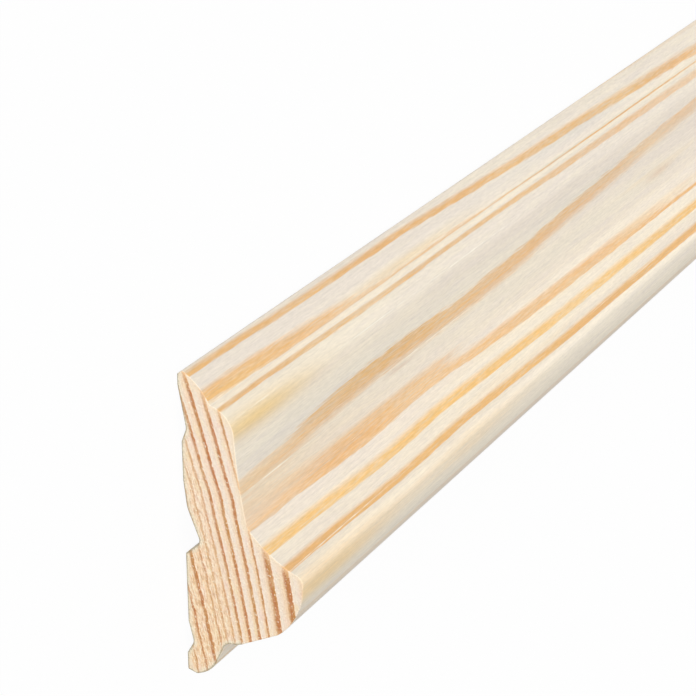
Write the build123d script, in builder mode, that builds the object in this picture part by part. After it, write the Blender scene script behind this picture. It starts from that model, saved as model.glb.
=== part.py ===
"""Pine profile moulding: one planed strip of constant section, lying on its back.

Axes: +X runs along the strip, away from the sawn end that is seen first.
      +Y runs across the strip, towards its thin upper lip.
      +Z stands off the back, towards the moulded front.
The origin is the middle of the back, on the surface that the strip lies on.
All sizes are in millimetres. Across the strip, a rise is measured up from the member below
and a drop down from the member above. Out from the back, a depth is measured from the back
itself, a reach from the member above, and a setback inwards from the full thickness. The
long face takes up what the other members leave of the width.
"""
import os

from build123d import *

# Stock
LENGTH = 2400.0
WIDTH = 42.0
THICKNESS = 17.0

# Upper lip and the ovolo that falls from it to the quirk
LIP_BEVEL = 0.6
LIP_DEPTH = 0.7
OVOLO_DROP = 3.6
OVOLO_DEPTH = 4.5
OVOLO_BULGE = 0.45
QUIRK_RADIUS = 0.35

# Ledge of the quirk and the shoulder that rounds it into the long face
LEDGE_DROP = 0.08
LEDGE_REACH = 0.4
SHOULDER_DROP = 3.12
SHOULDER_REACH = 2.85

# Long face, slightly hollow, which deepens towards its foot
FACE_DEPTH = 9.1
FACE_HOLLOW = 0.2

# Bottom tongue with its rounded bead
FOOT_BEVEL = 0.25
FOOT_DEPTH = 1.3
BEAD_RISE = 3.1
BEAD_DEPTH = 4.55
BEAD_BULGE = 0.5
TONGUE_RISE = 2.8
TONGUE_DEPTH = 5.8
TONGUE_RADIUS = 1.4
STEP_RISE = 0.4
STEP_DEPTH = 7.7
STEP_RADIUS = 3.0

# Underside, lower ovolo and nose
UNDERSIDE_RISE = 3.3
HEEL_SETBACK = 3.7
HEEL_RADIUS = 3.0
LOWER_OVOLO_RISE = 8.05
NOSE_RISE = 1.2
NOSE_SETBACK = 0.83

# Cove under the long face, and the shallow sweep from it out to the nose
SWEEP_RISE = 3.75
SWEEP_SETBACK = 7.0
COVE_RISE = 1.7

# Hollow back: the middle stands off the floor between two edge lands
BACK_RELIEF = 0.3
LOWER_LAND = 2.45
UPPER_LAND = 1.4

# Relief grooves in the back, each with a steep lower and a gentle upper side
SMALL_GROOVE_DEPTH = 1.0
SMALL_GROOVE_STEEP = 1.85
LOWER_GROOVE_GENTLE = 2.9
UPPER_GROOVE_GENTLE = 5.6
SMALL_GROOVE_RADIUS = 1.2
MAIN_GROOVE_OFFSET = 1.7
MAIN_GROOVE_DEPTH = 2.5
MAIN_GROOVE_STEEP = 2.15
MAIN_GROOVE_GENTLE = 4.3
MAIN_GROOVE_RADIUS = 0.9
RUN_OUT_DEPTH = 0.75
RUN_OUT = 3.7
RUN_OUT_RADIUS = 4.0

TOP = WIDTH / 2
BOTTOM = -WIDTH / 2


def front_outline():
    """Draws the moulded front from the upper lip down to the foot, and returns its rounded corners."""
    lip = (TOP, LIP_DEPTH)
    quirk = (TOP - OVOLO_DROP, OVOLO_DEPTH)
    ledge = (quirk[0] - LEDGE_DROP, quirk[1] + LEDGE_REACH)
    face_top = (ledge[0] - SHOULDER_DROP, ledge[1] + SHOULDER_REACH)
    foot = (BOTTOM, FOOT_DEPTH)
    bead = (BOTTOM + BEAD_RISE, BEAD_DEPTH)
    tongue = (bead[0] + TONGUE_RISE, TONGUE_DEPTH)
    step = (tongue[0] + STEP_RISE, STEP_DEPTH)
    heel = (step[0] + UNDERSIDE_RISE, THICKNESS - HEEL_SETBACK)
    ovolo_top = (heel[0] + LOWER_OVOLO_RISE, THICKNESS)
    nose = (ovolo_top[0] + NOSE_RISE, THICKNESS - NOSE_SETBACK)
    sweep_start = (nose[0] + SWEEP_RISE, THICKNESS - SWEEP_SETBACK)
    face_foot = (sweep_start[0] + COVE_RISE, FACE_DEPTH)

    SagittaArc(lip, quirk, -OVOLO_BULGE)
    ledge_line = Line(quirk, ledge)
    TangentArc(ledge, face_top, tangent=ledge_line % 1)
    face = SagittaArc(face_top, face_foot, FACE_HOLLOW)
    cove = TangentArc(face_foot, sweep_start, tangent=face % 1)
    TangentArc(sweep_start, nose, tangent=cove % 1)
    TangentArc(ovolo_top, nose, tangent=(1, 0))
    TangentArc(ovolo_top, heel, tangent=(-1, 0))
    Polyline(heel, step, tongue, bead)
    SagittaArc(bead, foot, -BEAD_BULGE)
    return {
        quirk: QUIRK_RADIUS,
        heel: HEEL_RADIUS,
        step: STEP_RADIUS,
        tongue: TONGUE_RADIUS,
    }


def back_outline():
    """Draws the back from the foot up to the lip, and returns its rounded corners."""
    lower_start = BOTTOM + FOOT_BEVEL + LOWER_LAND
    lower_apex = lower_start + SMALL_GROOVE_STEEP
    main_apex = -MAIN_GROOVE_OFFSET
    run_out = main_apex + MAIN_GROOVE_GENTLE
    upper_end = TOP - LIP_BEVEL - UPPER_LAND
    upper_apex = upper_end - UPPER_GROOVE_GENTLE
    lower_groove = (lower_apex, SMALL_GROOVE_DEPTH)
    main_groove = (main_apex, MAIN_GROOVE_DEPTH)
    upper_groove = (upper_apex, SMALL_GROOVE_DEPTH)

    Polyline(
        (BOTTOM, FOOT_DEPTH),
        (BOTTOM + FOOT_BEVEL, 0),
        (lower_start, 0),
        lower_groove,
        (lower_apex + LOWER_GROOVE_GENTLE, BACK_RELIEF),
        (main_apex - MAIN_GROOVE_STEEP, BACK_RELIEF),
        main_groove,
        (run_out, RUN_OUT_DEPTH),
        (run_out + RUN_OUT, BACK_RELIEF),
        (upper_apex - SMALL_GROOVE_STEEP, BACK_RELIEF),
        upper_groove,
        (upper_end, 0),
        (TOP - LIP_BEVEL, 0),
        (TOP, LIP_DEPTH),
    )
    return {
        lower_groove: SMALL_GROOVE_RADIUS,
        main_groove: MAIN_GROOVE_RADIUS,
        (run_out, RUN_OUT_DEPTH): RUN_OUT_RADIUS,
        upper_groove: SMALL_GROOVE_RADIUS,
    }


with BuildPart() as moulding:
    with BuildSketch(Plane.YZ.offset(-LENGTH / 2)) as section:
        with BuildLine():
            rounded = front_outline() | back_outline()
        make_face()
        for corner, radius in rounded.items():
            fillet(section.vertices().sort_by_distance(corner)[0], radius)
    extrude(amount=LENGTH)

moulding.part.label = "moulding"

os.makedirs("parts", exist_ok=True)
export_step(moulding.part, "parts/moulding.step")
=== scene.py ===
import math

import bpy
import numpy as np
from mathutils import Matrix, Vector, noise
from mathutils.geometry import delaunay_2d_cdt


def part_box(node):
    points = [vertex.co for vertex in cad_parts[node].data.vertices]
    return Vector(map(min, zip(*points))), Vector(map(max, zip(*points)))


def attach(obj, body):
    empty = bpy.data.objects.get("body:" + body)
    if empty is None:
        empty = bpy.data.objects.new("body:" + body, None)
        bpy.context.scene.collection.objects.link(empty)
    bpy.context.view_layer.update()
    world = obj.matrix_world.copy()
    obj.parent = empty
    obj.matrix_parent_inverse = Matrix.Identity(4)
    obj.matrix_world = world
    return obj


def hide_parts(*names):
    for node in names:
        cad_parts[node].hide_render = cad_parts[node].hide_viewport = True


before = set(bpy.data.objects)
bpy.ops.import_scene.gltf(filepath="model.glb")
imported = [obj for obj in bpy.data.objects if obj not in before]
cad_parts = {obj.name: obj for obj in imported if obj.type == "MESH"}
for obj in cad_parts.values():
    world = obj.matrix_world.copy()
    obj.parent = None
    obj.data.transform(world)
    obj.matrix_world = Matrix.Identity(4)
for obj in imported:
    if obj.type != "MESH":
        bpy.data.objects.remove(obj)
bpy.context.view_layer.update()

METRE = 0.001
LOW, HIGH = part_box("moulding")
START = LOW.x / METRE
LENGTH = (HIGH.x - LOW.x) / METRE
WIDTH = (HIGH.y - LOW.y) / METRE
THICKNESS = (HIGH.z - LOW.z) / METRE
TOP = WIDTH / 2
BOTTOM = -WIDTH / 2

# Section, with the same sizes as the CAD strip
LIP_BEVEL = 0.6
LIP_DEPTH = 0.7
OVOLO_DROP = 3.6
OVOLO_DEPTH = 4.5
OVOLO_BULGE = 0.45
QUIRK_RADIUS = 0.35
LEDGE_DROP = 0.08
LEDGE_REACH = 0.4
SHOULDER_DROP = 3.12
SHOULDER_REACH = 2.85
FACE_DEPTH = 9.1
FACE_HOLLOW = 0.2
FOOT_BEVEL = 0.25
FOOT_DEPTH = 1.3
BEAD_RISE = 3.1
BEAD_DEPTH = 4.55
BEAD_BULGE = 0.5
TONGUE_RISE = 2.8
TONGUE_DEPTH = 5.8
TONGUE_RADIUS = 1.4
STEP_RISE = 0.4
STEP_DEPTH = 7.7
STEP_RADIUS = 3.0
UNDERSIDE_RISE = 3.3
HEEL_SETBACK = 3.7
HEEL_RADIUS = 3.0
LOWER_OVOLO_RISE = 8.05
NOSE_RISE = 1.2
NOSE_SETBACK = 0.83
SWEEP_RISE = 3.75
SWEEP_SETBACK = 7.0
COVE_RISE = 1.7
BACK_RELIEF = 0.3
LOWER_LAND = 2.45
UPPER_LAND = 1.4
SMALL_GROOVE_DEPTH = 1.0
SMALL_GROOVE_STEEP = 1.85
LOWER_GROOVE_GENTLE = 2.9
UPPER_GROOVE_GENTLE = 5.6
SMALL_GROOVE_RADIUS = 1.2
MAIN_GROOVE_OFFSET = 1.7
MAIN_GROOVE_DEPTH = 2.5
MAIN_GROOVE_STEEP = 2.15
MAIN_GROOVE_GENTLE = 4.3
MAIN_GROOVE_RADIUS = 0.9
RUN_OUT_DEPTH = 0.75
RUN_OUT = 3.7
RUN_OUT_RADIUS = 4.0

# Mesh: planed arrises are barely rounded, and the sawn ones are a little ragged. A corner of the
# section that turns by less than SMOOTH_TURN stays as it is.
ARRIS_RADIUS = 0.2
SAWN_ARRIS = 0.12
SAWN_UNEVEN = 0.55
SAWN_UNEVEN_PER_MM = 1.7
ARRIS_STEPS = 3
ARC_STEP = 0.35
ARC_LEAST_STEPS = 8
SMOOTH_TURN = math.radians(14)
SAME_PLACE = 1e-6
STRAIGHT = 1e-6
# Caps: how far apart their points are, how clear of the rim as a share of that, the choice of only
# the triangles inside the rim, the number of batches in which distances are worked out, and the
# largest distance from the rim that is kept
CAP_STEP = 0.16
CAP_CLEAR = 0.7
ONLY_INSIDE = 1
BATCHES = 60
RIM_FAR = 3.0

# Where the long faces are cut for the bake map, and each row's stretch of the strip and place in
# the map. The caps lie above the rows: their scale to a millimetre, the gap beside the near one,
# the step from it to the far one, and the height that they start at.
NEAR_END = 160.0
STATIONS = (NEAR_END, (LENGTH + NEAR_END) / 2)
BAKE_ROWS = (
    (0.0, NEAR_END, 0.004, 0.44, 0.004, 0.85),
    (NEAR_END, STATIONS[1], 0.452, 0.996, 0.004, 0.42),
    (STATIONS[1], LENGTH, 0.452, 0.996, 0.432, 0.85),
)
CAP_SCALE = 0.0077
CAP_GAP = 0.01
CAP_ROOM = 0.35
CAP_BASE = 0.862

# Growth rings. At the sawn end the ring coordinate of a place is
# z + RING_TILT * y + RING_CURVE * y * y - RING_FAN * y * z, and FIRST_EDGE is where the first ring
# begins. For each ring: its outer edge and its latewood's width on the long faces, how much further
# in the edge lies on the ends, how dark the latewood is, and how golden.
RING_TILT = 0.2672
RING_CURVE = 0.00098
RING_FAN = 0.00615
FIRST_EDGE = -8.8
RINGS = (
    (-7.4, 0.38, 0.05, 0.50, 0.3),
    (-6.1, 0.48, 0.05, 0.80, 0.3),
    (-4.6, 0.38, 0.05, 0.50, 0.3),
    (-3.05, 0.38, 0.05, 0.60, 0.3),
    (-1.42, 0.45, 0.05, 0.75, 0.3),
    (0.45, 0.60, 0.05, 0.95, 0.4),
    (1.95, 0.36, 0.05, 0.50, 0.3),
    (3.10, 0.34, 0.05, 0.40, 0.3),
    (4.35, 0.36, 0.05, 0.45, 0.3),
    (5.60, 0.50, 0.05, 0.80, 0.3),
    (7.45, 0.56, 0.38, 0.90, 0.2),
    (8.96, 0.55, 0.28, 0.84, 0.3),
    (10.19, 0.38, 0.06, 0.80, 0.2),
    (12.44, 1.00, 0.20, 0.88, 0.8),
    (15.04, 1.02, 0.34, 1.00, 0.3),
    (17.3, 1.30, 0.05, 0.32, 1.0),
)
# The latewood's width on the ends, as a share of its width on the long faces
ON_END = 0.86
# Latewood comes in over this share of its width to either side of its inner edge, and goes out over
# this share of the ring at its outer edge
RING_RISE = 0.35
RING_EDGE = 0.06
# How far the rings have moved out at a distance from the sawn end: in the lower half, in the upper
# half, and how much more the inner rings, which come out near the upper lip. SETTLE fits the
# distances into a curve from 0 to 1, with most room for the near ones.
SETTLE = 150.0
DRIFT_LOW = (
    (0, 0), (10, 0.08), (26, 0.43), (34, 0.38), (42, 0.22), (50, 0.34), (58, 0.5), (74, 0.85), (90, 0.95),
    (106, 1.1), (130, 1.27), (200, 1.7), (320, 1.3), (520, 2.2), (900, 3.2), (1400, 2.1), (2400, 3.0),
)
DRIFT_HIGH = (
    (0, 0), (10, 0.02), (18, 0.14), (34, 0.22), (42, 0.23), (58, 0.2), (74, 0.28), (90, 0.48), (106, 0.56),
    (138, 0.67), (200, 1.0), (320, 0.7), (520, 1.5), (900, 2.6), (1400, 1.8), (2400, 2.3),
)
DRIFT_LIP = (
    (0, 0), (50, 0.06), (60, 0.28), (76, 0.46), (100, 0.5), (130, 0.68), (220, 0.85), (500, 0.4),
    (2400, 0.6),
)
# A ramp, here and below, goes smoothly from its third number to its fourth as a value goes from its
# first to its second. These pick out the upper half by y, the inner rings by their coordinate, and
# the rings that hardly move, which lie towards the foot by y and near the sawn end by x.
UPPER_RAMP = (1.0, 3.4, 0.0, 1.0)
INNER_RAMP = (8.2, 8.7, 1.0, 0.0)
STEADY_LOW_RAMP = (-8.0, -3.0, 1.0, 0.0)
STEADY_NEAR_RAMP = (150.0, 400.0, 1.0, 0.0)
# Latewood that widens or narrows on the long faces: the distances from the sawn end where there is
# none of the change and where there is all of it, its place across and out, its reach, and the
# change itself as a share of the width
WIDTHS = (
    (10.0, 48.0, (17.8, 4.6), 1.5, -0.62),
    (-2.0, -1.0, (16.9, 6.0), 0.7, 0.75),
    (45.0, 70.0, (1.6, 10.2), 1.0, 1.3),
    (62.0, 45.0, (3.5, 9.1), 1.5, 0.4),
    (14.0, 6.0, (9.3, 8.2), 1.8, -0.4),
    (100.0, 125.0, (0.3, 11.1), 1.2, -0.35),
)
# Places on the long faces where the latewood is fainter, or stronger where the last number is
# below 0: place, length, width and strength. ENDLESS doesn't fade along the strip.
ENDLESS = 1e5
FAINT = (
    ((0.0, 9.2, 8.2), 14.0, 1.7, 0.6),
    ((0.0, 3.7, 9.0), 13.0, 1.6, 0.5),
    ((150.0, 12.0, 8.0), 45.0, 2.5, 0.3),
    ((5.0, 17.9, 4.2), 8.0, 0.6, -0.25),
    ((24.0, 17.4, 4.7), 11.0, 0.6, 0.2),
    ((60.0, 17.4, 4.5), 28.0, 0.5, 0.3),
    ((36.0, 9.8, 8.2), 24.0, 2.0, -0.2),
    ((128.0, 0.2, 11.2), 12.0, 1.2, -0.3),
    ((175.0, 20.8, 0.9), 100.0, 0.9, 0.95),
    ((150.0, 16.2, 6.6), 60.0, 0.9, 0.35),
    ((100.0, 1.2, 10.5), 40.0, 1.0, 0.1),
    ((0.0, -8.3, 15.9), ENDLESS, 1.9, 0.85),
    ((0.0, -17.6, 5.0), ENDLESS, 1.8, 0.85),
)
# Local swells of the rings: x, y, length, width and rise
SWELLS = (
    (34.0, 2.9, 17.0, 1.3, -0.36),
    (20.0, 5.6, 60.0, 1.9, 0.2),
    (26.0, 10.5, 14.0, 3.0, 0.08),
    (96.0, 12.0, 22.0, 3.0, -0.1),
)
# Unevenness of the rings: a long waver that grows away from the sawn end, the messy rings near
# the back, fine fibres, and ragged edges, which are strongest at the ends. A noise, here and below,
# has its grain sizes along, across and out, its detail and its roughness.
WAVER_NOISE = ((90.0, 9.0, 9.0), 2.0, 0.5)
WAVER_RAMP = (120.0, 420.0, 0.06, 0.5)
MESSY_NOISE = ((25.0, 2.2, 1.6), 2.0, 0.5)
MESSY_RAMP = (0.5, 6.0, 0.35, 0.0)
FIBRE_NOISE = ((4.0, 0.16, 0.16), 1.0, 0.5)
FIBRE = 0.1
RAGGED_NOISE = ((14.0, 0.5, 0.5), 1.0, 0.5)
RAGGED = 0.11
RAGGED_RAMP = (0.5, 4.0, 1.0, 0.3)
# How the earlywood warms from the inner to the outer part of its ring
WARM_RAMP = (0.1, 0.75, 0.0, 1.0)


def tone(red, green, blue):
    """A display colour, each part from 0 to 255, as Blender's linear colour."""
    parts = [part / 255 for part in (red, green, blue)]
    return tuple(p / 12.92 if p <= 0.04045 else ((p + 0.055) / 1.055) ** 2.4 for p in parts) + (1.0,)


# Wood colours on the long faces and on the sawn ends
EARLY_CREAM = tone(240, 229, 209)
EARLY_PINK = tone(232, 221, 207)
EARLY_YELLOW = tone(234, 204, 148)
# Pale earlywood, which is also the colour of the painted highlight on the ledge under the quirk
EARLY_PALE_AND_HIGHLIGHT = tone(255, 243, 221)
LATE_BROWN = tone(226, 177, 119)
LATE_GOLD = tone(240, 196, 122)
RESIN = tone(255, 249, 234)
SPOT = tone(214, 186, 158)
GREY_TINT = tone(232, 238, 246)
END_HIGH = tone(252, 220, 186)
END_LOW = tone(245, 208, 163)
END_LATE = tone(188, 120, 72)
END_OCHRE = tone(192, 136, 76)
END_PALE = tone(243, 230, 215)
END_STROKE = tone(199, 154, 108)
END_FLECK = tone(255, 244, 222)
END_PINK = tone(247, 219, 203)
END_YELLOW = tone(246, 224, 180)
END_RIM = tone(249, 230, 202)
RIM_LATE = tone(238, 180, 112)
BACK_RIM = tone(238, 230, 206)
BACK_SHADE = tone(150, 144, 116)

# Every face: how squarely it has to face along the strip to count as a sawn end, and fine grain
FACING_RAMP = (0.5, 0.9, 0.0, 1.0)
STREAK_NOISE = ((14.0, 0.3, 0.3), 3.0, 0.6)
STREAK = 0.12
FUZZ_NOISE = ((1.3, 0.17, 0.17), 2.0, 0.6)
FUZZ = 0.16
SPECKLE_NOISE = ((0.5, 0.24, 0.24), 2.0, 0.6)
SPECKLE = 0.1

# Long faces: earlywood from pink to cream, with yellow in places
CLOUD_NOISE = ((110.0, 5.0, 5.0), 2.0, 0.5)
CLOUD_RAMP = (-0.4, 0.4, 0.0, 1.0)
MOTTLE_NOISE = ((7.0, 0.9, 0.9), 3.0, 0.6)
MOTTLE = 0.6
YELLOW_NOISE = ((70.0, 2.5, 2.5), 2.0, 0.5)
YELLOW_RAMP = (0.3, 0.8, 0.0, 0.4)
# Latewood that varies along the strip in strength and in how golden it is
DASH_NOISE = ((2.2, 0.18, 0.18), 1.0, 0.5)
DASH = 0.45
TONE_NOISE = ((26.0, 3.0, 3.0), 1.0, 0.5)
TONE = 0.3
GOLDEN = 0.5
LATE_STREAK = 0.4
# Fine lines of resin, and where the dashes break the single lines up
RESIN_NOISE = ((16.0, 0.13, 0.13), 1.0, 0.5)
RESIN_RAMP = (0.52, 0.7, 0.0, 0.5)
RESIN_BREAK_RAMP = (-0.5, 0.3, 0.0, 1.0)
# Yellow, pale and greyer patches, and brown spots: place, length, width and strength
YELLOW_PATCHES = (
    ((5.0, 14.7, 7.6), 12.0, 1.4, 1.0),
    ((0.0, 5.5, 8.7), 26.0, 2.2, 0.3),
    ((4.0, -4.3, 16.9), 14.0, 1.5, 0.65),
    ((100.0, 1.2, 10.5), 40.0, 0.8, 0.35),
    ((47.0, 17.9, 4.0), 14.0, 0.6, 0.5),
)
PALE_AND_HIGHLIGHT_PATCHES = (
    # The ledge under the quirk: a painted highlight, lighter because the ledge catches the light
    ((20.0, 17.2, 5.2), 260.0, 0.5, 0.8),
    ((60.0, -2.6, 16.6), ENDLESS, 0.7, 0.5),
    ((90.0, -1.0, 14.3), 60.0, 0.6, 0.45),
)
GREY_PATCHES = (
    ((26.0, 10.0, 8.2), 32.0, 2.6, 0.5),
    ((100.0, 11.5, 8.0), 40.0, 1.6, 0.4),
    ((95.0, 5.8, 8.7), 40.0, 2.0, 0.3),
    ((110.0, 18.7, 3.3), 40.0, 1.2, 0.45),
)
BROWN_SPOTS = (((124.0, 5.6, 8.7), 5.0, 0.6, 0.6), ((38.5, 6.9, 8.45), 3.5, 0.25, 0.5))
# Pale lines of resin canals: middle, half length and half width
RESIN_LINES = (
    ((7.0, 15.75, 7.15), 4.5, 0.07),
    ((34.0, 15.15, 7.5), 9.0, 0.06),
    ((60.0, 15.15, 7.5), 12.0, 0.06),
    ((78.0, 2.0, 9.75), 18.0, 0.06),
    ((7.0, 6.5, 8.5), 8.0, 0.08),
    ((48.0, 7.5, 8.4), 12.0, 0.07),
    ((27.0, 16.75, 6.2), 2.5, 0.05),
    ((10.0, -1.78, 15.15), 14.0, 0.07),
    ((88.0, -1.9, 15.55), 5.0, 0.06),
    ((104.0, -2.0, 15.6), 5.0, 0.06),
)

# Sawn ends. ORDERLY_RAMP goes from the messy rings to the even ones, by their coordinate, and
# HIGH_RAMP up the end, by y. On the ends a noise's third size is across the rings.
ORDERLY_RAMP = (1.0, 7.0, 0.0, 1.0)
HIGH_RAMP = (-15.0, 12.0, 0.0, 1.0)
# Earlywood: how pale the inner part of a ring is among messy and among even rings, pink and yellow
# tints, and dark and pale strokes, with their strength among messy and among even rings
PALE_RAMP = (0.0, 1.0, 0.25, 0.85)
TINT_NOISE = ((30.0, 2.6, 1.1), 2.0, 0.5)
PINK_RAMP = (0.05, 0.5, 0.0, 0.6)
YELLOWISH_RAMP = (-0.05, -0.5, 0.0, 0.6)
STROKE_NOISE = ((1.0, 1.0, 0.2), 2.0, 0.6)
STROKE_RAMP = (0.0, 1.0, 0.65, 0.15)
DARK_STROKE_RAMP = (0.0, 0.3, 0.0, 1.0)
PALE_STROKE_RAMP = (0.0, -0.3, 0.0, 1.0)
# Latewood: the power that its strength is raised to, how speckles and longer stretches change it,
# the cells that come on top of it, and the parts that are ochre
END_DARK_POWER = 0.75
END_SPECKLE = 0.6
LINE_NOISE = ((30.0, 1.5, 0.9), 2.0, 0.5)
LINE = 0.55
CELL_NOISE = ((1.0, 1.1, 0.13), 2.0, 0.6)
CELL_RAMP = (0.0, 1.0, 0.2, 0.1)
OCHRE_NOISE = ((30.0, 7.0, 0.8), 2.0, 0.5)
OCHRE_RAMP = (-0.2, 0.25, 0.0, 1.0)
# Pale flecks and saw marks
FLECK_NOISE = ((0.5, 0.4, 0.22), 1.0, 0.5)
FLECK_RAMP = (0.22, 0.42, 0.0, 0.75)
SCRATCH_TURN = math.radians(24)
SCRATCH_NOISE = ((2.2, 0.1, 1.0), 1.0, 0.5)
SCRATCH_RAMP = (0.32, 0.5, 0.0, 1.0)
SCRATCH = 0.5
# Rims, by the distance from the edge: how speckles roughen them, the pale front rim and how dark
# latewood stays in it, and the pale back rim, fainter on latewood, with the shade at its edge
RIM_ROUGH = 0.8
FRONT_RIM_RAMP = (0.0, 1.15, 0.9, 0.0)
RIM_DARK = 0.7
BACK_RIM_RAMP = (0.2, 0.9, 0.6, 0.0)
BACK_RIM_LATE_RAMP = (0.0, 0.8, 1.0, 0.25)
BACK_SHADE_RAMP = (0.08, 0.32, 0.7, 0.0)
# How far latewood and speckles stand proud of the softer wood
LATE_PROUD = 0.035
SPECKLE_PROUD = 0.02

# Surface: its roughness, with what sawn ends add and latewood takes off, and the strength, depth
# and streaks of its bump
ROUGHNESS = 0.62
END_ROUGHER = 0.2
LATE_SMOOTHER = 0.08
BUMP = 0.35
BUMP_DEPTH = 0.05
BUMP_STREAK = 0.5

# Stage and light. The floor's size is in metres. It reflects light onto the strip by FLOOR_COLOUR,
# and the camera sees FLOOR_SEEN, with a share FLOOR_GLOW of plain white. The white world lights the
# strip with WORLD_LIGHT. Each sun has the way to it, its strength and its angle.
FLOOR_SIZE = 60.0
FLOOR_COLOUR = (0.33, 0.33, 0.33, 1.0)
FLOOR_SEEN = (0.95, 0.95, 0.95, 1.0)
FLOOR_GLOW = 0.95
WORLD_LIGHT = 0.475
KEY_FROM = (-0.78, 0.52, 0.43)
KEY_LIGHT = 0.80
KEY_ANGLE = 35
FILL_FROM = (0.85, 0.0, 0.5)
FILL_LIGHT = 0.14
FILL_ANGLE = 60

# The photograph's camera, its place measured from the middle of the back at the sawn end. It sees
# nothing closer than CLIP_START, which is in metres.
SENSOR = 36.0
PHOTO_PIXELS = 696
FOCAL_PIXELS = 2169.4
CAMERA_PLACE = (-184.36, 133.71, 131.56)
CAMERA_LOOK = (0.77482, -0.43822, -0.45565)
CAMERA_RIGHT = (0.50677, -0.00032, 0.86208)
CLIP_START = 0.01


def arc(start, end, way):
    """Points on the arc from start to end that leaves start in the direction way, and its direction
    at end."""
    across, along = end[0] - start[0], end[1] - start[1]
    chord = math.hypot(across, along)
    first = math.atan2(way[1], way[0])
    half = (math.atan2(along, across) - first + math.pi) % (2 * math.pi) - math.pi
    if abs(half) < STRAIGHT:
        return [tuple(start), tuple(end)], (across / chord, along / chord)
    steps = max(ARC_LEAST_STEPS, math.ceil(chord * half / math.sin(half) / ARC_STEP))
    points = []
    for i in range(steps + 1):
        part = i / steps * half
        reach = chord * math.sin(part) / math.sin(half)
        turned = first + part
        points.append((start[0] + reach * math.cos(turned), start[1] + reach * math.sin(turned)))
    points[-1] = tuple(end)
    last = first + 2 * half
    return points, (math.cos(last), math.sin(last))


def bulged(start, end, bulge):
    """The arc from start to end whose middle stands bulge to the left of the straight line."""
    across, along = end[0] - start[0], end[1] - start[1]
    lead = math.atan2(along, across) + 2 * math.atan2(2 * bulge, math.hypot(across, along))
    return arc(start, end, (math.cos(lead), math.sin(lead)))


def front_outline():
    """The moulded front from the upper lip down to the foot, and its rounded corners."""
    lip = (TOP, LIP_DEPTH)
    quirk = (TOP - OVOLO_DROP, OVOLO_DEPTH)
    ledge = (quirk[0] - LEDGE_DROP, quirk[1] + LEDGE_REACH)
    face_top = (ledge[0] - SHOULDER_DROP, ledge[1] + SHOULDER_REACH)
    foot = (BOTTOM, FOOT_DEPTH)
    bead = (BOTTOM + BEAD_RISE, BEAD_DEPTH)
    tongue = (bead[0] + TONGUE_RISE, TONGUE_DEPTH)
    step = (tongue[0] + STEP_RISE, STEP_DEPTH)
    heel = (step[0] + UNDERSIDE_RISE, THICKNESS - HEEL_SETBACK)
    ovolo_top = (heel[0] + LOWER_OVOLO_RISE, THICKNESS)
    nose = (ovolo_top[0] + NOSE_RISE, THICKNESS - NOSE_SETBACK)
    sweep_start = (nose[0] + SWEEP_RISE, THICKNESS - SWEEP_SETBACK)
    face_foot = (sweep_start[0] + COVE_RISE, FACE_DEPTH)
    ovolo, _ = bulged(lip, quirk, -OVOLO_BULGE)
    shoulder, _ = arc(ledge, face_top, (-LEDGE_DROP, LEDGE_REACH))
    face, way = bulged(face_top, face_foot, FACE_HOLLOW)
    cove, way = arc(face_foot, sweep_start, way)
    sweep, _ = arc(sweep_start, nose, way)
    nose_round, _ = arc(ovolo_top, nose, (1, 0))
    lower_ovolo, _ = arc(ovolo_top, heel, (-1, 0))
    bead_round, _ = bulged(bead, foot, -BEAD_BULGE)
    runs = (ovolo, shoulder, face, cove, sweep, nose_round[::-1], lower_ovolo, [step], [tongue], bead_round)
    radii = {quirk: QUIRK_RADIUS, heel: HEEL_RADIUS, step: STEP_RADIUS, tongue: TONGUE_RADIUS}
    return [point for run in runs for point in run], radii


def back_outline():
    """The back from the foot up to the lip, and its rounded corners."""
    lower_start = BOTTOM + FOOT_BEVEL + LOWER_LAND
    lower_apex = lower_start + SMALL_GROOVE_STEEP
    main_apex = -MAIN_GROOVE_OFFSET
    run_out = main_apex + MAIN_GROOVE_GENTLE
    upper_end = TOP - LIP_BEVEL - UPPER_LAND
    upper_apex = upper_end - UPPER_GROOVE_GENTLE
    lower_groove = (lower_apex, SMALL_GROOVE_DEPTH)
    main_groove = (main_apex, MAIN_GROOVE_DEPTH)
    upper_groove = (upper_apex, SMALL_GROOVE_DEPTH)
    points = [
        (BOTTOM + FOOT_BEVEL, 0.0),
        (lower_start, 0.0),
        lower_groove,
        (lower_apex + LOWER_GROOVE_GENTLE, BACK_RELIEF),
        (main_apex - MAIN_GROOVE_STEEP, BACK_RELIEF),
        main_groove,
        (run_out, RUN_OUT_DEPTH),
        (run_out + RUN_OUT, BACK_RELIEF),
        (upper_apex - SMALL_GROOVE_STEEP, BACK_RELIEF),
        upper_groove,
        (upper_end, 0.0),
        (TOP - LIP_BEVEL, 0.0),
    ]
    radii = {
        lower_groove: SMALL_GROOVE_RADIUS,
        main_groove: MAIN_GROOVE_RADIUS,
        (run_out, RUN_OUT_DEPTH): RUN_OUT_RADIUS,
        upper_groove: SMALL_GROOVE_RADIUS,
    }
    return points, radii


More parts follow.
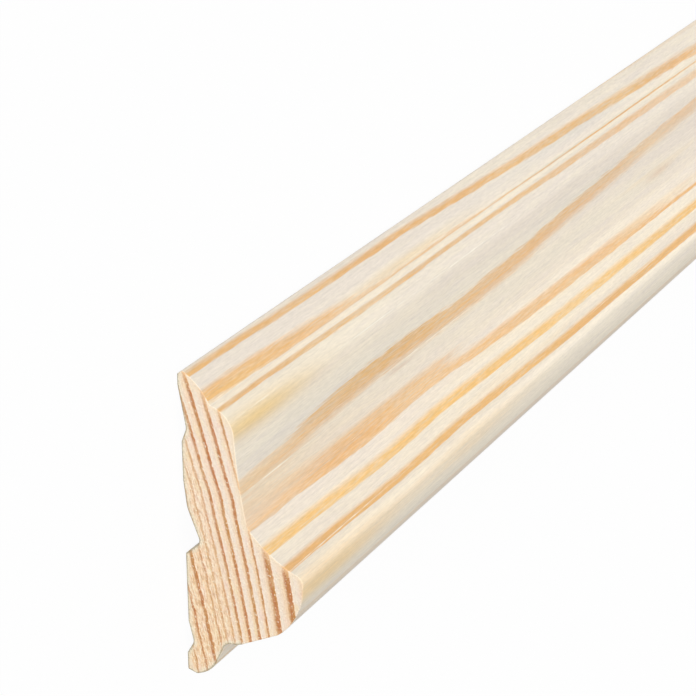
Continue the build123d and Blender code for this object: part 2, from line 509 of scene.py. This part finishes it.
def section_outline():
    """The whole section as one loop of points, from the lip over the front and the back, with its
    corners rounded."""
    front, front_radii = front_outline()
    back, back_radii = back_outline()
    radii = front_radii | back_radii
    loop = []
    for point in front + back:
        if not loop or math.dist(point, loop[-1]) > SAME_PLACE:
            loop.append(point)
    rounds = {}
    for i, corner in enumerate(loop):
        near = Vector(loop[i - 1]) - Vector(corner)
        far = Vector(loop[(i + 1) % len(loop)]) - Vector(corner)
        turn = math.pi - near.angle(far)
        if turn > SMOOTH_TURN:
            known = [radius for place, radius in radii.items() if math.dist(place, corner) < SAME_PLACE]
            cut = (known + [ARRIS_RADIUS])[0] * math.tan(turn / 2)
            start = Vector(corner) + near.normalized() * cut
            end = Vector(corner) + far.normalized() * cut
            points, _ = arc(start, end, -near)
            rounds[corner] = (cut, points)
    outline = []
    for point in loop:
        if point in rounds:
            outline += rounds[point][1]
        elif all(math.dist(point, corner) > cut for corner, (cut, _) in rounds.items()):
            outline.append(point)
    return np.array([tuple(point) for point in outline])


OUTLINE = section_outline()


def outward(outline):
    """The direction off the wood at each point of the outline."""
    along = np.roll(outline, -1, 0) - np.roll(outline, 1, 0)
    along /= np.linalg.norm(along, axis=1)[:, None]
    return np.stack((along[:, 1], -along[:, 0]), 1)


def inside(points, outline):
    """Which points lie within the outline."""
    a, b = outline, np.roll(outline, -1, 0)
    result = np.zeros(len(points), bool)
    for (ay, az), (by, bz) in zip(a, b):
        if az != bz:
            crosses = (az > points[:, 1]) != (bz > points[:, 1])
            result ^= crosses & (points[:, 0] < (by - ay) * (points[:, 1] - az) / (bz - az) + ay)
    return result


def cap_mesh(rim):
    """Points inside the rim of a sawn end, and the triangles between them and the rim's own points."""
    ys = np.arange(BOTTOM, TOP, CAP_STEP)
    zs = np.arange(0, THICKNESS, CAP_STEP * math.sqrt(3) / 2)
    rows = [np.stack((ys + (i % 2) * CAP_STEP / 2, np.full(len(ys), z)), 1) for i, z in enumerate(zs)]
    points = np.concatenate(rows)
    points = points[inside(points, rim)]
    parts = np.array_split(points, BATCHES)
    gaps = np.concatenate([np.linalg.norm(part[:, None] - rim[None], axis=2).min(1) for part in parts])
    points = points[gaps > CAP_CLEAR * CAP_STEP]
    corners = [Vector(p) for p in np.concatenate((rim, points))]
    border = list(range(len(rim)))
    _, _, faces, origins, _, _ = delaunay_2d_cdt(corners, [], [border], ONLY_INSIDE, SAME_PLACE)
    names = [origin[0] for origin in origins]
    return points, [[names[i] for i in face] for face in faces]


def rim_gaps(points, line):
    """How far each point is from a stretch of the outline, across the strip, up to RIM_FAR."""
    a, b = line[:-1], line[1:]
    along = b - a
    gaps = []
    for part in np.array_split(points[:, 1:], BATCHES):
        ahead = ((part[:, None] - a) * along).sum(2) / (along ** 2).sum(1)
        nearest = a + np.clip(ahead, 0, 1)[..., None] * along
        gaps.append(np.linalg.norm(part[:, None] - nearest, axis=2).min(1))
    return np.minimum(np.concatenate(gaps), RIM_FAR)


def add_values(mesh, name, values):
    """Gives each point of the mesh a number, which a material or a modifier reads by its name."""
    attribute = mesh.attributes.new(name, "FLOAT", "POINT")
    attribute.data.foreach_set("value", np.asarray(values, np.float32))


def strip_mesh():
    """One closed mesh of the strip: long faces between stations, a rounded arris at each sawn end,
    and its cap."""
    count = len(OUTLINE)
    off = outward(OUTLINE)
    swells = [noise.noise(Vector((y, z, 0)) * SAWN_UNEVEN_PER_MM) for y, z in OUTLINE]
    radii = np.array([SAWN_ARRIS * (1 + SAWN_UNEVEN * swell) for swell in swells])
    loops = []
    for end, inwards in ((START, 1), (START + LENGTH, -1)):
        side = []
        for i in range(ARRIS_STEPS + 1):
            angle = i / ARRIS_STEPS * math.pi / 2
            x = end + inwards * radii * (1 - math.sin(angle))
            yz = OUTLINE - off * (radii * (1 - math.cos(angle)))[:, None]
            side.append(np.column_stack((x, yz)))
        loops.append(side)
    near, far = loops
    between = [np.column_stack((np.full(count, START + x), OUTLINE)) for x in STATIONS]
    hoops = near[::-1] + between + far
    points = np.concatenate(hoops)
    faces = []
    for i in range(len(hoops) - 1):
        for j in range(count):
            k = (j + 1) % count
            faces.append((i * count + j, i * count + k, (i + 1) * count + k, (i + 1) * count + j))
    sides = len(faces)
    for hoop, end, flip in ((0, START, False), (len(hoops) - 1, START + LENGTH, True)):
        rim = hoops[hoop][:, 1:]
        fill, triangles = cap_mesh(rim)
        first = len(points)
        points = np.concatenate((points, np.column_stack((np.full(len(fill), end), fill))))
        for triangle in triangles:
            names = [hoop * count + i if i < count else first + i - count for i in triangle]
            faces.append(names if flip else names[::-1])
    mesh = bpy.data.meshes.new("moulding_wood")
    mesh.from_pydata([tuple(p * METRE) for p in points], [], faces)
    mesh.update()
    add_values(mesh, "sawn", np.arange(len(points)) >= len(hoops) * count)
    nose = np.argmax(OUTLINE[:, 1])
    heel = nose + np.argmax(OUTLINE[nose:, 1] < THICKNESS - HEEL_SETBACK)
    add_values(mesh, "front_gap", rim_gaps(points, OUTLINE[:nose + 1]))
    add_values(mesh, "back_gap", rim_gaps(points, OUTLINE[heel:]))
    add_bake_map(mesh, count, sides)
    mesh.polygons.foreach_set("use_smooth", [True] * len(mesh.polygons))
    return mesh


def add_bake_map(mesh, count, sides):
    """A map that lays the long faces out in rows, with most room for the end nearest the camera, and
    the caps above. The first faces of the mesh, as many as sides, go round it in hoops of count."""
    layer = mesh.uv_layers.new(name="OFBake")
    steps = np.linalg.norm(np.roll(OUTLINE, -1, 0) - OUTLINE, axis=1)
    round_place = np.concatenate(([0], np.cumsum(steps))) / steps.sum()
    last_arris = len(STATIONS) + ARRIS_STEPS + 1
    uv = np.zeros((len(mesh.loops), 2), np.float32)
    for polygon in mesh.polygons:
        hoop, j = divmod(polygon.index, count)
        for loop in polygon.loop_indices:
            vertex = mesh.loops[loop].vertex_index
            x, y, z = mesh.vertices[vertex].co / METRE
            x -= START
            if polygon.index >= sides or hoop < ARRIS_STEPS or hoop >= last_arris:
                far = x > LENGTH / 2
                uv[loop] = (CAP_GAP + (y - BOTTOM) * CAP_SCALE + far * CAP_ROOM, CAP_BASE + z * CAP_SCALE)
                continue
            step = 0 if vertex % count == j else 1
            begin, end, u_low, u_high, v_low, v_high = BAKE_ROWS[hoop - ARRIS_STEPS]
            uv[loop] = (
                u_low + (u_high - u_low) * (x - begin) / (end - begin),
                v_low + (v_high - v_low) * round_place[j + step],
            )
    layer.data.foreach_set("uv", uv.ravel())


class Tree:
    """Adds linked nodes to a shader or geometry node tree. A value is a socket, a constant, or None
    to leave the input as it is."""

    def __init__(self, tree):
        self.tree = tree

    def fill(self, socket, value):
        if isinstance(value, bpy.types.NodeSocket):
            self.tree.links.new(value, socket)
        elif value is not None:
            socket.default_value = value

    def add(self, kind, *values, **settings):
        node = self.tree.nodes.new(kind)
        for name, value in settings.items():
            setattr(node, name, value)
        for socket, value in zip(node.inputs, values):
            self.fill(socket, value)
        return node

    def math(self, operation, *values):
        return self.add("ShaderNodeMath", *values, operation=operation).outputs[0]

    def total(self, first, *others):
        for other in others:
            first = self.math("ADD", first, other)
        return first

    def times(self, first, *others):
        for other in others:
            first = self.math("MULTIPLY", first, other)
        return first

    def split(self, vector):
        return self.add("ShaderNodeSeparateXYZ", vector).outputs

    def join(self, x, y, z):
        return self.add("ShaderNodeCombineXYZ", x, y, z).outputs[0]

    def noise(self, x, y, z, sizes, detail, roughness):
        """Noise of the given grain sizes in millimetres, from about -1 to 1."""
        place = self.join(*(self.math("DIVIDE", part, size) for part, size in zip((x, y, z), sizes)))
        node = self.add("ShaderNodeTexNoise")
        self.fill(node.inputs["Vector"], place)
        self.fill(node.inputs["Scale"], 1.0)
        self.fill(node.inputs["Detail"], detail)
        self.fill(node.inputs["Roughness"], roughness)
        return self.math("MULTIPLY_ADD", node.outputs[0], 2.0, -1.0)

    def smooth(self, value, low, high, bottom=0.0, top=1.0):
        """Goes smoothly from bottom to top as value goes from low to high."""
        values = (value, low, high, bottom, top)
        return self.add("ShaderNodeMapRange", *values, interpolation_type="SMOOTHSTEP").outputs[0]

    def curve(self, value, points):
        """A curve of straight runs through points that lie between 0 and 1."""
        node = self.add("ShaderNodeFloatCurve", None, value)
        line = node.mapping.curves[0]
        while len(line.points) < len(points):
            line.points.new(0.5, 0.5)
        for point, (across, up) in zip(line.points, points):
            point.location = (across, up)
            point.handle_type = "VECTOR"
        node.mapping.update()
        return node.outputs[0]

    def mix(self, factor, first, second, blend="MIX"):
        node = self.add("ShaderNodeMix", data_type="RGBA", blend_type=blend)
        self.fill(node.inputs[0], factor)
        self.fill(node.inputs[6], first)
        self.fill(node.inputs[7], second)
        return node.outputs[2]


def blob(tree, point, place, sizes):
    """Fades from 1 where the point is at the place to 0 where it is about two sizes away from it."""
    squares = []
    for part, middle, size in zip(point, place, sizes):
        away = tree.math("DIVIDE", tree.math("SUBTRACT", part, middle), size)
        squares.append(tree.times(away, away))
    return tree.math("EXPONENT", tree.times(tree.total(*squares), -1.0))


def patch(tree, x, y, z, row):
    """How strong the patch is that a row gives by its place, length, width and strength."""
    place, length, width, strength = row
    return tree.times(blob(tree, (x, y, z), place, (length, width, width)), strength)


def drift_curve(tree, settled, knots):
    """The drift that the knots give, which are pairs of a distance along the strip and a rise."""
    most = max(rise for _, rise in knots)
    return tree.times(tree.curve(settled, [(a / (a + SETTLE), rise / most) for a, rise in knots]), most)


def end_place(tree, y, z):
    """The ring coordinate at the sawn end, in millimetres."""
    tilt = tree.times(y, RING_TILT)
    curve = tree.times(y, y, RING_CURVE)
    fan = tree.times(y, z, -RING_FAN)
    return tree.total(z, tilt, curve, fan)


def ring_place(tree, x, y, z):
    """The ring coordinate in millimetres, with the run of the grain along the strip taken off."""
    flat = end_place(tree, y, z)
    along = tree.math("MAXIMUM", x, 0.0)
    settled = tree.math("DIVIDE", along, tree.total(along, SETTLE))
    high = tree.smooth(y, *UPPER_RAMP)
    low_drift = tree.times(drift_curve(tree, settled, DRIFT_LOW), tree.math("SUBTRACT", 1.0, high))
    high_drift = tree.times(drift_curve(tree, settled, DRIFT_HIGH), high)
    drift = tree.total(low_drift, high_drift)
    steady = tree.times(tree.smooth(y, *STEADY_LOW_RAMP), tree.smooth(x, *STEADY_NEAR_RAMP))
    drift = tree.times(drift, tree.math("SUBTRACT", 1.0, steady))
    for middle, across, length, width, rise in SWELLS:
        swell = blob(tree, (x, y), (middle, across), (length, width))
        drift = tree.total(drift, tree.times(swell, rise))
    waver = tree.times(tree.noise(x, y, z, *WAVER_NOISE), tree.smooth(x, *WAVER_RAMP))
    messy = tree.times(tree.smooth(flat, *MESSY_RAMP), tree.noise(x, y, z, *MESSY_NOISE))
    fibre = tree.times(tree.noise(x, y, z, *FIBRE_NOISE), FIBRE)
    off_end = tree.math("MINIMUM", x, tree.math("SUBTRACT", LENGTH, x))
    ragged = tree.times(tree.noise(x, y, z, *RAGGED_NOISE), RAGGED)
    ragged = tree.times(ragged, tree.smooth(off_end, *RAGGED_RAMP))
    place = tree.total(tree.math("SUBTRACT", flat, drift), waver, messy, fibre, ragged)
    inner = tree.smooth(place, *INNER_RAMP)
    return tree.math("SUBTRACT", place, tree.times(drift_curve(tree, settled, DRIFT_LIP), inner))


def latewood(tree, x, y, z, end_grain):
    """How dark the wood is at a point, from 0 in earlywood to 1 in the strongest latewood, how golden,
    and how warm the earlywood is, which goes from 0 to 1 through each ring."""
    edges = [FIRST_EDGE] + [ring[0] for ring in RINGS]
    low, high, count = edges[0], edges[-1], len(RINGS)
    share = tree.math("DIVIDE", tree.math("SUBTRACT", ring_place(tree, x, y, z), low), high - low)
    knots = [((edge - low) / (high - low), i / count) for i, edge in enumerate(edges)]
    phase = tree.times(tree.curve(share, knots), count)
    number = tree.math("FLOOR", phase)
    part = tree.math("SUBTRACT", phase, number)
    # A constant stop for each ring holds its values, with the widths as shares of the ring
    ramp = tree.add("ShaderNodeValToRGB", tree.math("DIVIDE", tree.total(number, 0.5), count))
    colours = ramp.color_ramp
    colours.interpolation = "CONSTANT"
    colours.elements.remove(colours.elements[1])
    for i, (outer, wide, shift, dark, gold) in enumerate(RINGS):
        whole = outer - edges[i]
        stop = colours.elements.new(i / count) if i else colours.elements[0]
        stop.position = i / count
        stop.color = (wide / whole, shift / whole, dark, gold)
    wide, shift, dark = tree.split(ramp.outputs[0])
    wide = tree.times(wide, tree.smooth(end_grain, 0.0, 1.0, 1.0, ON_END))
    long_face = tree.math("SUBTRACT", 1.0, end_grain)
    for none_at, all_at, place, reach, change in WIDTHS:
        near = tree.times(blob(tree, (y, z), place, (reach, reach)), long_face)
        wide = tree.times(wide, tree.total(1.0, tree.times(near, tree.smooth(x, none_at, all_at), change)))
    for place, length, width, strength in FAINT:
        near = tree.times(blob(tree, (x, y, z), place, (length, width, width)), long_face)
        dark = tree.times(dark, tree.total(1.0, tree.times(near, -strength)))
    part = tree.total(part, tree.times(end_grain, shift))
    onset = tree.math("SUBTRACT", 1.0, tree.times(wide, 1 + RING_RISE))
    full = tree.math("SUBTRACT", 1.0, tree.times(wide, 1 - RING_RISE))
    rise = tree.smooth(part, onset, full)
    fall = tree.smooth(part, 1.0 - RING_EDGE, 1.0, 1.0, 0.0)
    return tree.times(rise, fall, dark), ramp.outputs[1], tree.times(tree.smooth(part, *WARM_RAMP), fall)


def place_in(tree, vector):
    """How far a place is from the sawn end, across the strip and out from its back, in millimetres,
    where the vector gives it in metres."""
    x, y, z = tree.split(vector)
    return (
        tree.math("MULTIPLY_ADD", x, 1 / METRE, -START),
        tree.times(y, 1 / METRE),
        tree.times(z, 1 / METRE),
    )


def scratches(tree, y, z):
    """Short pale saw marks, which rise to the right on the near end."""
    turn = (math.cos(SCRATCH_TURN), math.sin(SCRATCH_TURN))
    along = tree.total(tree.times(z, turn[0]), tree.times(y, turn[1]))
    across = tree.total(tree.times(z, -turn[1]), tree.times(y, turn[0]))
    return tree.smooth(tree.noise(along, across, 0.0, *SCRATCH_NOISE), *SCRATCH_RAMP)


def long_face_colour(tree, x, y, z, dark, gold, streak):
    """The colour of the planed faces."""
    dash = tree.noise(x, y, z, *DASH_NOISE)
    mottle = tree.noise(x, y, z, *MOTTLE_NOISE)
    cloud = tree.total(tree.noise(x, y, z, *CLOUD_NOISE), tree.times(mottle, MOTTLE))
    early = tree.mix(tree.smooth(cloud, *CLOUD_RAMP), EARLY_PINK, EARLY_CREAM)
    yellow = tree.smooth(tree.noise(x, y, z, *YELLOW_NOISE), *YELLOW_RAMP)
    for row in YELLOW_PATCHES:
        yellow = tree.math("MAXIMUM", yellow, patch(tree, x, y, z, row))
    early = tree.mix(yellow, early, EARLY_YELLOW)
    # Pale patches; the one on the ledge under the quirk is a painted highlight
    for row in PALE_AND_HIGHLIGHT_PATCHES:
        early = tree.mix(patch(tree, x, y, z, row), early, EARLY_PALE_AND_HIGHLIGHT)
    deeper = tree.noise(x, y, z, *TONE_NOISE)
    late = tree.mix(tree.total(gold, tree.times(deeper, -GOLDEN)), LATE_BROWN, LATE_GOLD)
    uneven = tree.total(tree.times(dash, DASH), tree.times(deeper, TONE), tree.times(streak, LATE_STREAK))
    colour = tree.mix(tree.times(dark, tree.total(1.0, uneven)), early, late)
    for row in GREY_PATCHES:
        colour = tree.mix(patch(tree, x, y, z, row), colour, GREY_TINT, "MULTIPLY")
    for row in BROWN_SPOTS:
        colour = tree.mix(patch(tree, x, y, z, row), colour, SPOT)
    resin = tree.smooth(tree.noise(x, y, z, *RESIN_NOISE), *RESIN_RAMP)
    broken = tree.smooth(dash, *RESIN_BREAK_RAMP)
    for place, length, width in RESIN_LINES:
        line = tree.times(blob(tree, (x, y, z), place, (length, width, width)), broken)
        resin = tree.math("MAXIMUM", resin, line)
    return tree.mix(resin, colour, RESIN)


def rimmed(tree, colour, dark, speckle):
    """The colour of the sawn ends with the pale rim of the front, and the pale and shaded rim of the
    back."""
    rough = tree.total(1.0, tree.times(speckle, RIM_ROUGH))
    front_gap = tree.add("ShaderNodeAttribute", attribute_name="front_gap").outputs["Fac"]
    front_rim = tree.smooth(tree.times(front_gap, rough), *FRONT_RIM_RAMP)
    colour = tree.mix(front_rim, colour, tree.mix(tree.times(dark, RIM_DARK), END_RIM, RIM_LATE))
    back_gap = tree.add("ShaderNodeAttribute", attribute_name="back_gap").outputs["Fac"]
    back_gap = tree.times(back_gap, rough)
    back_rim = tree.times(tree.smooth(back_gap, *BACK_RIM_RAMP), tree.smooth(dark, *BACK_RIM_LATE_RAMP))
    colour = tree.mix(back_rim, colour, BACK_RIM)
    return tree.mix(tree.smooth(back_gap, *BACK_SHADE_RAMP), colour, BACK_SHADE)


def sawn_end_colour(tree, x, y, z, dark, warm, speckle):
    """The colour of the sawn ends."""
    flat = end_place(tree, y, z)
    orderly = tree.smooth(flat, *ORDERLY_RAMP)
    early = tree.mix(tree.smooth(y, *HIGH_RAMP), END_LOW, END_HIGH)
    pale = tree.times(tree.math("SUBTRACT", 1.0, warm), tree.smooth(orderly, *PALE_RAMP))
    early = tree.mix(pale, early, END_PALE)
    tint = tree.noise(x, y, flat, *TINT_NOISE)
    early = tree.mix(tree.smooth(tint, *PINK_RAMP), early, END_PINK)
    early = tree.mix(tree.smooth(tint, *YELLOWISH_RAMP), early, END_YELLOW)
    strokes = tree.noise(x, y, flat, *STROKE_NOISE)
    most = tree.smooth(orderly, *STROKE_RAMP)
    early = tree.mix(tree.times(tree.smooth(strokes, *DARK_STROKE_RAMP), most), early, END_STROKE)
    early = tree.mix(tree.times(tree.smooth(strokes, *PALE_STROKE_RAMP), most), early, END_FLECK)
    cells = tree.times(tree.noise(x, y, flat, *CELL_NOISE), tree.smooth(orderly, *CELL_RAMP))
    line = tree.times(tree.noise(x, y, flat, *LINE_NOISE), LINE)
    uneven = tree.total(1.0, tree.times(speckle, END_SPECKLE), line)
    late = tree.times(tree.math("POWER", dark, END_DARK_POWER), uneven)
    ochre = tree.smooth(tree.noise(x, y, flat, *OCHRE_NOISE), *OCHRE_RAMP)
    colour = tree.mix(tree.total(late, cells), early, tree.mix(ochre, END_LATE, END_OCHRE))
    flecks = tree.smooth(tree.noise(x, y, flat, *FLECK_NOISE), *FLECK_RAMP)
    colour = tree.mix(flecks, colour, END_FLECK)
    colour = tree.mix(tree.times(scratches(tree, y, z), SCRATCH), colour, END_RIM)
    return rimmed(tree, colour, dark, speckle)


def wood_material():
    """Untreated planed pine, with its growth rings as a solid that shows on every face."""
    material = bpy.data.materials.new("pine")
    material.use_nodes = True
    tree = Tree(material.node_tree)
    shader = material.node_tree.nodes["Principled BSDF"]
    x, y, z = place_in(tree, tree.add("ShaderNodeTexCoord").outputs["Object"])
    facing = tree.split(tree.add("ShaderNodeNewGeometry").outputs["Normal"])[0]
    end_grain = tree.smooth(tree.math("ABSOLUTE", facing), *FACING_RAMP)
    dark, gold, warm = latewood(tree, x, y, z, end_grain)
    streak = tree.noise(x, y, z, *STREAK_NOISE)
    speckle = tree.noise(x, y, z, *SPECKLE_NOISE)
    long_colour = long_face_colour(tree, x, y, z, dark, gold, streak)
    end_colour = sawn_end_colour(tree, x, y, z, dark, warm, speckle)
    colour = tree.mix(end_grain, long_colour, end_colour)

    fuzz = tree.noise(x, y, z, *FUZZ_NOISE)
    along_grain = tree.total(tree.times(streak, STREAK), tree.times(fuzz, FUZZ))
    shade = tree.total(1.0, along_grain, tree.times(speckle, end_grain, SPECKLE))
    bright = tree.add("ShaderNodeVectorMath", colour, operation="SCALE")
    tree.fill(bright.inputs["Scale"], shade)
    tree.fill(shader.inputs["Base Color"], bright.outputs[0])
    rougher = tree.times(end_grain, END_ROUGHER)
    smoother = tree.times(dark, -LATE_SMOOTHER)
    tree.fill(shader.inputs["Roughness"], tree.total(rougher, smoother, ROUGHNESS))
    bump = tree.add("ShaderNodeBump")
    tree.fill(bump.inputs["Strength"], BUMP)
    tree.fill(bump.inputs["Distance"], BUMP_DEPTH * METRE)
    height = tree.total(tree.times(streak, BUMP_STREAK), dark, tree.times(speckle, end_grain))
    tree.fill(bump.inputs["Height"], height)
    tree.fill(shader.inputs["Normal"], bump.outputs[0])
    return material


def relief(strip):
    """Raises the latewood on the sawn ends, where a saw leaves it proud of the softer wood between."""
    group = bpy.data.node_groups.new("sawn_relief", "GeometryNodeTree")
    group.interface.new_socket("Geometry", in_out="INPUT", socket_type="NodeSocketGeometry")
    group.interface.new_socket("Geometry", in_out="OUTPUT", socket_type="NodeSocketGeometry")
    tree = Tree(group)
    start = tree.add("NodeGroupInput")
    x, y, z = place_in(tree, tree.add("GeometryNodeInputPosition").outputs[0])
    sawn = tree.add("GeometryNodeInputNamedAttribute", "sawn", data_type="FLOAT").outputs[0]
    late, _, _ = latewood(tree, x, y, z, 1.0)
    speckle = tree.noise(x, y, z, *SPECKLE_NOISE)
    height = tree.total(tree.times(late, LATE_PROUD), tree.times(speckle, SPECKLE_PROUD), -LATE_PROUD)
    normal = tree.add("GeometryNodeInputNormal").outputs[0]
    move = tree.add("ShaderNodeVectorMath", normal, operation="SCALE")
    tree.fill(move.inputs["Scale"], tree.times(height, sawn, METRE))
    moved = tree.add("GeometryNodeSetPosition")
    tree.fill(moved.inputs["Geometry"], start.outputs[0])
    tree.fill(moved.inputs["Offset"], move.outputs[0])
    tree.add("NodeGroupOutput", moved.outputs[0])
    strip.modifiers.new("sawn_relief", "NODES").node_group = group
    weighted = strip.modifiers.new("weighted_normals", "WEIGHTED_NORMAL")
    weighted.keep_sharp = True


def add_strip():
    """The strip with its wood, which stands for the CAD strip."""
    strip = bpy.data.objects.new("moulding_wood", strip_mesh())
    bpy.context.scene.collection.objects.link(strip)
    strip.data.materials.append(wood_material())
    relief(strip)
    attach(strip, "root")
    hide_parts("moulding")


def ray_seen(tree):
    """1 for a ray that the camera sees, straight or reflected, and 0 for one that only gives light."""
    path = tree.add("ShaderNodeLightPath").outputs
    return tree.math("MAXIMUM", path["Is Camera Ray"], path["Is Glossy Ray"])


def add_floor():
    """A plain floor that looks nearly white and takes a faint shadow."""
    bpy.ops.mesh.primitive_plane_add(size=FLOOR_SIZE, location=(0, 0, LOW.z))
    floor = bpy.context.object
    floor.name = "floor"
    material = bpy.data.materials.new("floor")
    material.use_nodes = True
    tree = Tree(material.node_tree)
    nodes = material.node_tree.nodes
    nodes.remove(nodes["Principled BSDF"])
    seen = ray_seen(tree)
    plain = tree.add("ShaderNodeBsdfDiffuse", tree.mix(seen, FLOOR_COLOUR, FLOOR_SEEN))
    white = tree.add("ShaderNodeEmission", (1, 1, 1, 1), 1.0)
    both = tree.add("ShaderNodeMixShader", tree.times(seen, FLOOR_GLOW), plain.outputs[0], white.outputs[0])
    tree.fill(nodes["Material Output"].inputs["Surface"], both.outputs[0])
    floor.data.materials.append(material)


def add_world():
    """An even studio light whose background looks white."""
    world = bpy.data.worlds.new("studio")
    bpy.context.scene.world = world
    world.use_nodes = True
    tree = Tree(world.node_tree)
    light = world.node_tree.nodes["Background"]
    tree.fill(light.inputs["Color"], (1, 1, 1, 1))
    tree.fill(light.inputs["Strength"], tree.smooth(ray_seen(tree), 0.0, 1.0, WORLD_LIGHT, 1.0))


def add_sun(name, way, strength, angle):
    """A soft sun that shines from the direction way."""
    lamp = bpy.data.lights.new(name, "SUN")
    lamp.energy = strength * math.pi
    lamp.angle = math.radians(angle)
    sun = bpy.data.objects.new(name, lamp)
    sun.rotation_mode = "QUATERNION"
    sun.rotation_quaternion = Vector(way).to_track_quat("Z", "Y")
    bpy.context.scene.collection.objects.link(sun)


def add_camera():
    """The photograph's view: close to the sawn end, looking along the strip and down on it."""
    camera = bpy.data.objects.new("camera", bpy.data.cameras.new("camera"))
    camera.data.sensor_width = SENSOR
    camera.data.lens = SENSOR * FOCAL_PIXELS / PHOTO_PIXELS
    camera.data.clip_start = CLIP_START
    camera.data.clip_end = FLOOR_SIZE
    look = Vector(CAMERA_LOOK).normalized()
    up = Vector(CAMERA_RIGHT).cross(look).normalized()
    right = look.cross(up)
    turn = Matrix((right, up, -look)).transposed().to_4x4()
    place = (Vector((START, 0, 0)) + Vector(CAMERA_PLACE)) * METRE
    camera.matrix_world = Matrix.Translation(place) @ turn
    bpy.context.scene.collection.objects.link(camera)
    bpy.context.scene.camera = camera


add_strip()
add_floor()
add_world()
add_sun("key", KEY_FROM, KEY_LIGHT, KEY_ANGLE)
add_sun("fill", FILL_FROM, FILL_LIGHT, FILL_ANGLE)
add_camera()
bpy.context.scene.view_settings.view_transform = "Standard"
